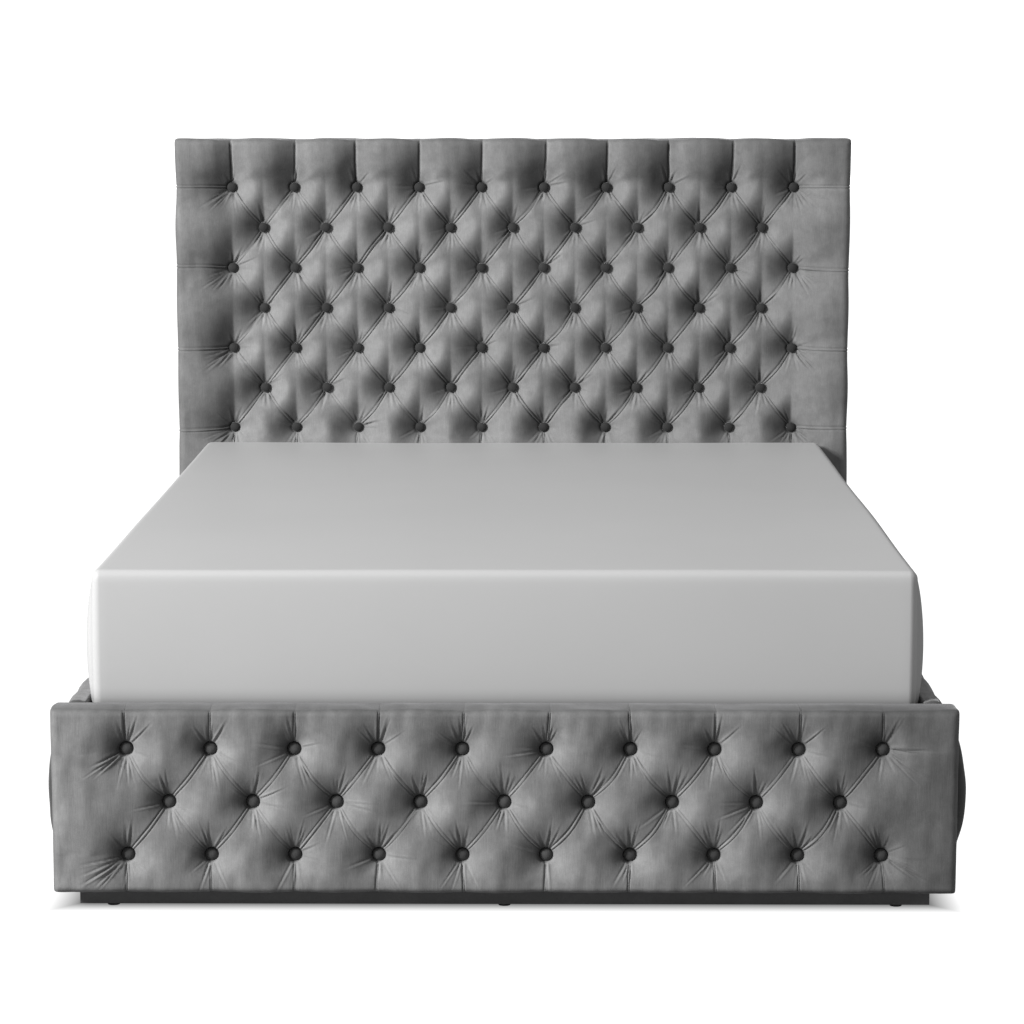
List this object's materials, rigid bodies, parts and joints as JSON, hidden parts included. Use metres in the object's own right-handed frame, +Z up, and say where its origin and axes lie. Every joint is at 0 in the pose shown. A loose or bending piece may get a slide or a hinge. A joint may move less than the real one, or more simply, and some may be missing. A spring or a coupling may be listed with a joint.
{
  "type": "upholstered headboard bed",
  "caption": "King size bed with deep diamond-buttoned velvet headboard, footboard and side rails, a sprung-slat base on a centre beam, and a mattress in a fitted sheet.",
  "frame": {"origin": "on the floor, under the middle of the bed's overall box", "axes": "+Z up, +Y from the foot end to the head end, +X to the right of someone who looks at the bed from its foot"},
  "size_m": [1.692, 2.196, 1.35],
  "materials": {
    "velvet": "cut pile velvet",
    "twine": "waxed button twine",
    "foam": "open-cell foam",
    "pine": "planed",
    "plywood": "sanded",
    "beech": "varnished",
    "black_cloth": "spun-bonded dust cloth",
    "black_board": "matt black",
    "black_steel": "powder coated",
    "zinc_steel": "zinc plated",
    "black_plastic": "moulded",
    "spring_pockets": "spun-bonded pockets",
    "ticking": "knitted",
    "satin_sheet": "satin"
  },
  "bodies": {
    "bed_frame": {"headboard_cover": "velvet", "footboard_cover": "velvet", "side_rail_cover_left": "velvet", "side_rail_cover_right": "velvet", "headboard_buttons": "velvet", "footboard_buttons": "velvet", "side_rail_buttons_left": "velvet", "side_rail_buttons_right": "velvet", "headboard_button_ties": "twine", "footboard_button_ties": "twine", "side_rail_button_ties": "twine", "headboard_foam": "foam", "footboard_foam": "foam", "side_rail_foam_left": "foam", "side_rail_foam_right": "foam", "headboard_post_left": "pine", "headboard_post_right": "pine", "headboard_top_rail": "pine", "headboard_middle_rail": "pine", "headboard_lower_rail": "pine", "footboard_post_left": "pine", "footboard_post_right": "pine", "footboard_top_rail": "pine", "footboard_bottom_rail": "pine", "footboard_centre_block": "pine", "slat_ledge_left": "pine", "slat_ledge_right": "pine", "centre_beam": "pine", "headboard_board": "plywood", "footboard_board": "plywood", "side_rail_board_left": "plywood", "side_rail_board_right": "plywood", "slats_left": "beech", "slats_right": "beech", "headboard_back_cloth": "black_cloth", "footboard_inner_lining": "black_cloth", "plinth_front": "black_board", "plinth_rear": "black_board", "plinth_left": "black_board", "plinth_right": "black_board", "corner_brackets": "black_steel", "beam_hangers": "black_steel", "centre_legs": "black_steel", "frame_bolts": "zinc_steel", "rail_screws": "zinc_steel", "beam_screws": "zinc_steel", "threaded_inserts": "zinc_steel", "slat_end_caps": "black_plastic", "slat_centre_caps": "black_plastic", "floor_glides": "black_plastic"},
    "mattress": {"mattress_spring_unit": "spring_pockets", "mattress_edge_rails": "foam", "mattress_comfort_layers": "foam", "mattress_ticking": "ticking", "fitted_sheet": "satin_sheet"},
    "levelling_foot_foot": {"levelling_foot_foot": "black_plastic"},
    "levelling_foot_middle": {"levelling_foot_middle": "black_plastic"},
    "levelling_foot_head": {"levelling_foot_head": "black_plastic"}
  },
  "joints": [
    {"name": "mattress_lift", "type": "slide", "parent": "bed_frame", "child": "mattress", "axis": [0, 0, 1], "range_m": [0, 0.45]},
    {"name": "level_foot_leg", "type": "slide", "parent": "bed_frame", "child": "levelling_foot_foot", "axis": [0, 0, -1], "range_m": [-0.008, 0.012]},
    {"name": "level_middle_leg", "type": "slide", "parent": "bed_frame", "child": "levelling_foot_middle", "axis": [0, 0, -1], "range_m": [-0.008, 0.012]},
    {"name": "level_head_leg", "type": "slide", "parent": "bed_frame", "child": "levelling_foot_head", "axis": [0, 0, -1], "range_m": [-0.008, 0.012]}
  ]
}
